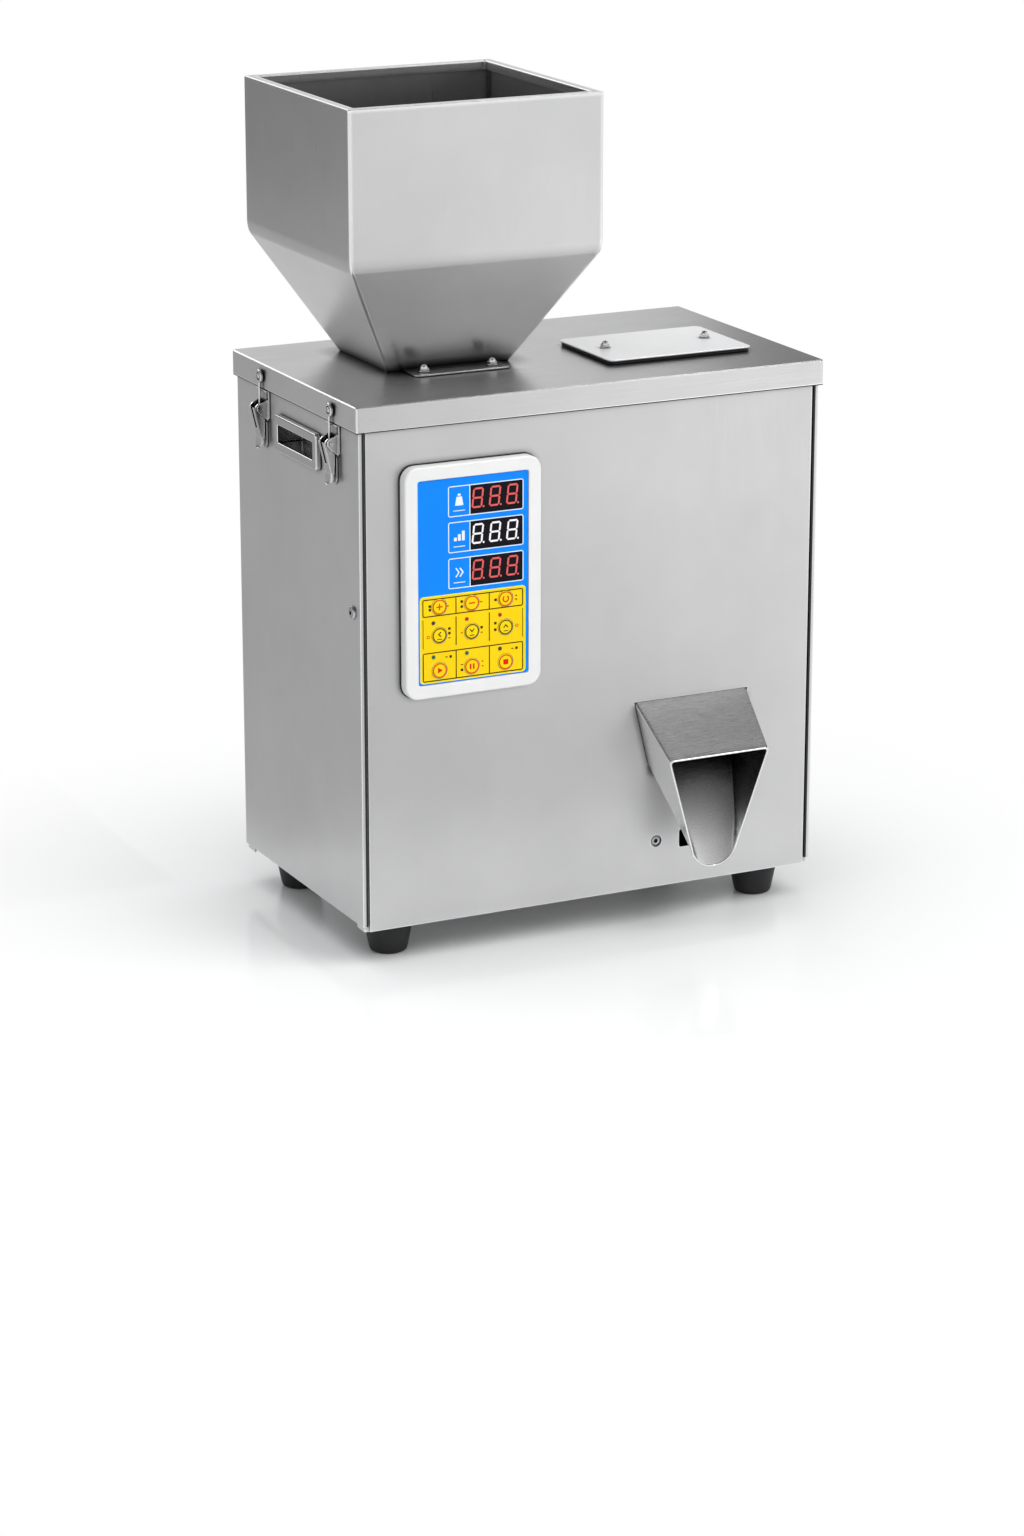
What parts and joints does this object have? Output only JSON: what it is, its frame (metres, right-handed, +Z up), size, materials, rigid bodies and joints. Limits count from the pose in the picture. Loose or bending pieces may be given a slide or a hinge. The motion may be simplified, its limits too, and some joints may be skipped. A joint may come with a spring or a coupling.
{
  "type": "granule filling machine",
  "caption": "Bench-top weigh filler: square hopper, vibrating feeder, weigh bucket and sloping discharge chute in a folded stainless cabinet with a keypad.",
  "frame": {"origin": "on the floor, under the middle of the whole machine", "axes": "+X to the right along the front panel, +Y from the front to the back, +Z up"},
  "size_m": [0.4244, 0.3018, 0.664],
  "materials": {
    "sheet_steel": "satin brushed stainless sheet",
    "bright_steel": "bright smooth steel",
    "spring_steel": "dark rolled spring strip",
    "aluminium": "milled, matte",
    "black_rubber": "matte",
    "white_plastic": "moulded, semi-gloss",
    "printed_film": "printed membrane, fine texture",
    "key_film": "printed membrane, fine texture",
    "black_plastic": "moulded, matte",
    "circuit_board": "solder-masked board",
    "painted_iron": "painted core and housing"
  },
  "bodies": {
    "machine": {"adjuster_screw": "bright_steel", "back_panel": "sheet_steel", "base_tray": "sheet_steel", "bucket_hanger": "sheet_steel", "control_bezel": "white_plastic", "control_film": "printed_film", "discharge_chute": "sheet_steel", "display_board": "circuit_board", "feeder_stand": "sheet_steel", "flap_solenoid": "painted_iron", "foot_back_left": "black_rubber", "foot_back_right": "black_rubber", "foot_front_left": "black_rubber", "foot_front_right": "black_rubber", "front_panel": "sheet_steel", "hatch_cover": "sheet_steel", "hatch_gasket": "black_rubber", "hopper": "sheet_steel", "hopper_bolt_back_left": "bright_steel", "hopper_bolt_back_right": "bright_steel", "hopper_bolt_front_left": "bright_steel", "hopper_bolt_front_right": "bright_steel", "inner_funnel": "sheet_steel", "latch_base_left_back": "bright_steel", "latch_base_left_front": "bright_steel", "latch_base_right_back": "bright_steel", "latch_base_right_front": "bright_steel", "leaf_spring": "spring_steel", "left_handle": "bright_steel", "left_side_cover": "sheet_steel", "lid": "sheet_steel", "load_cell": "aluminium", "load_cell_post": "sheet_steel", "power_inlet": "black_plastic", "power_supply": "aluminium", "right_handle": "bright_steel", "right_side_cover": "sheet_steel", "vibrator_drive": "painted_iron", "weigh_bucket": "sheet_steel"},
    "lever_left_front": {"latch_lever_left_front": "bright_steel"},
    "link_left_front": {"latch_link_left_front": "bright_steel"},
    "lever_left_back": {"latch_lever_left_back": "bright_steel"},
    "link_left_back": {"latch_link_left_back": "bright_steel"},
    "lever_right_front": {"latch_lever_right_front": "bright_steel"},
    "link_right_front": {"latch_link_right_front": "bright_steel"},
    "lever_right_back": {"latch_lever_right_back": "bright_steel"},
    "link_right_back": {"latch_link_right_back": "bright_steel"},
    "key_1": {"key_1": "key_film"},
    "key_2": {"key_2": "key_film"},
    "key_3": {"key_3": "key_film"},
    "key_4": {"key_4": "key_film"},
    "key_5": {"key_5": "key_film"},
    "key_6": {"key_6": "key_film"},
    "key_7": {"key_7": "key_film"},
    "key_8": {"key_8": "key_film"},
    "key_9": {"key_9": "key_film"},
    "rocker": {"power_rocker": "black_plastic"},
    "feeder": {"feeder_tray": "sheet_steel"},
    "flap": {"bucket_flap": "sheet_steel"},
    "plunger": {"solenoid_plunger": "bright_steel"}
  },
  "joints": [
    {"name": "lever_left_front_hinge", "type": "hinge", "parent": "machine", "child": "lever_left_front", "pos_m": [-0.207, -0.05887, 0.413], "axis": [0, 1, 0], "range_deg": [0, 100]},
    {"name": "link_left_front_hinge", "type": "hinge", "parent": "lever_left_front", "child": "link_left_front", "pos_m": [-0.205, -0.05887, 0.406], "axis": [0, 1, 0], "range_deg": [-131, 0]},
    {"name": "lever_left_back_hinge", "type": "hinge", "parent": "machine", "child": "lever_left_back", "pos_m": [-0.207, 0.07812, 0.413], "axis": [0, 1, 0], "range_deg": [0, 100]},
    {"name": "link_left_back_hinge", "type": "hinge", "parent": "lever_left_back", "child": "link_left_back", "pos_m": [-0.205, 0.07812, 0.406], "axis": [0, 1, 0], "range_deg": [-131, 0]},
    {"name": "lever_right_front_hinge", "type": "hinge", "parent": "machine", "child": "lever_right_front", "pos_m": [0.207, -0.05887, 0.413], "axis": [0, -1, 0], "range_deg": [0, 100]},
    {"name": "link_right_front_hinge", "type": "hinge", "parent": "lever_right_front", "child": "link_right_front", "pos_m": [0.205, -0.05887, 0.406], "axis": [0, -1, 0], "range_deg": [-131, 0]},
    {"name": "lever_right_back_hinge", "type": "hinge", "parent": "machine", "child": "lever_right_back", "pos_m": [0.207, 0.07812, 0.413], "axis": [0, -1, 0], "range_deg": [0, 100]},
    {"name": "link_right_back_hinge", "type": "hinge", "parent": "lever_right_back", "child": "link_right_back", "pos_m": [0.205, 0.07812, 0.406], "axis": [0, -1, 0], "range_deg": [-131, 0]},
    {"name": "key_1_press", "type": "slide", "parent": "machine", "child": "key_1", "axis": [0, 1, 0], "range_m": [0, 0.0004], "stiffness_N_per_m": 1200, "springref_m": -0.0004},
    {"name": "key_2_press", "type": "slide", "parent": "machine", "child": "key_2", "axis": [0, 1, 0], "range_m": [0, 0.0004], "stiffness_N_per_m": 1200, "springref_m": -0.0004},
    {"name": "key_3_press", "type": "slide", "parent": "machine", "child": "key_3", "axis": [0, 1, 0], "range_m": [0, 0.0004], "stiffness_N_per_m": 1200, "springref_m": -0.0004},
    {"name": "key_4_press", "type": "slide", "parent": "machine", "child": "key_4", "axis": [0, 1, 0], "range_m": [0, 0.0004], "stiffness_N_per_m": 1200, "springref_m": -0.0004},
    {"name": "key_5_press", "type": "slide", "parent": "machine", "child": "key_5", "axis": [0, 1, 0], "range_m": [0, 0.0004], "stiffness_N_per_m": 1200, "springref_m": -0.0004},
    {"name": "key_6_press", "type": "slide", "parent": "machine", "child": "key_6", "axis": [0, 1, 0], "range_m": [0, 0.0004], "stiffness_N_per_m": 1200, "springref_m": -0.0004},
    {"name": "key_7_press", "type": "slide", "parent": "machine", "child": "key_7", "axis": [0, 1, 0], "range_m": [0, 0.0004], "stiffness_N_per_m": 1200, "springref_m": -0.0004},
    {"name": "key_8_press", "type": "slide", "parent": "machine", "child": "key_8", "axis": [0, 1, 0], "range_m": [0, 0.0004], "stiffness_N_per_m": 1200, "springref_m": -0.0004},
    {"name": "key_9_press", "type": "slide", "parent": "machine", "child": "key_9", "axis": [0, 1, 0], "range_m": [0, 0.0004], "stiffness_N_per_m": 1200, "springref_m": -0.0004},
    {"name": "rocker_tilt", "type": "hinge", "parent": "machine", "child": "rocker", "pos_m": [-0.13, 0.13712, 0.1055], "axis": [1, 0, 0], "range_deg": [0, 17]},
    {"name": "feeder_shake", "type": "slide", "parent": "machine", "child": "feeder", "axis": [0.9659, 0, 0.2588], "range_m": [-0.001, 0.001], "stiffness_N_per_m": 8000, "deforming": ["leaf_spring"]},
    {"name": "flap_hinge", "type": "hinge", "parent": "machine", "child": "flap", "pos_m": [0.1246, 0.04913, 0.297], "axis": [0, -1, 0], "range_deg": [0, 40], "stiffness_Nm_per_rad": 0.12, "springref_deg": -34.38},
    {"name": "plunger_lift", "type": "slide", "parent": "machine", "child": "plunger", "axis": [0, 0, 1], "range_m": [0, 0.01]}
  ],
  "couplings": [
    {"joint": "link_left_front_hinge", "follows": "lever_left_front_hinge", "ratio": -1.3},
    {"joint": "link_left_back_hinge", "follows": "lever_left_back_hinge", "ratio": -1.3},
    {"joint": "link_right_front_hinge", "follows": "lever_right_front_hinge", "ratio": -1.3},
    {"joint": "link_right_back_hinge", "follows": "lever_right_back_hinge", "ratio": -1.3},
    {"joint": "plunger_lift", "follows": "flap_hinge", "m_per_rad": 0.014}
  ]
}
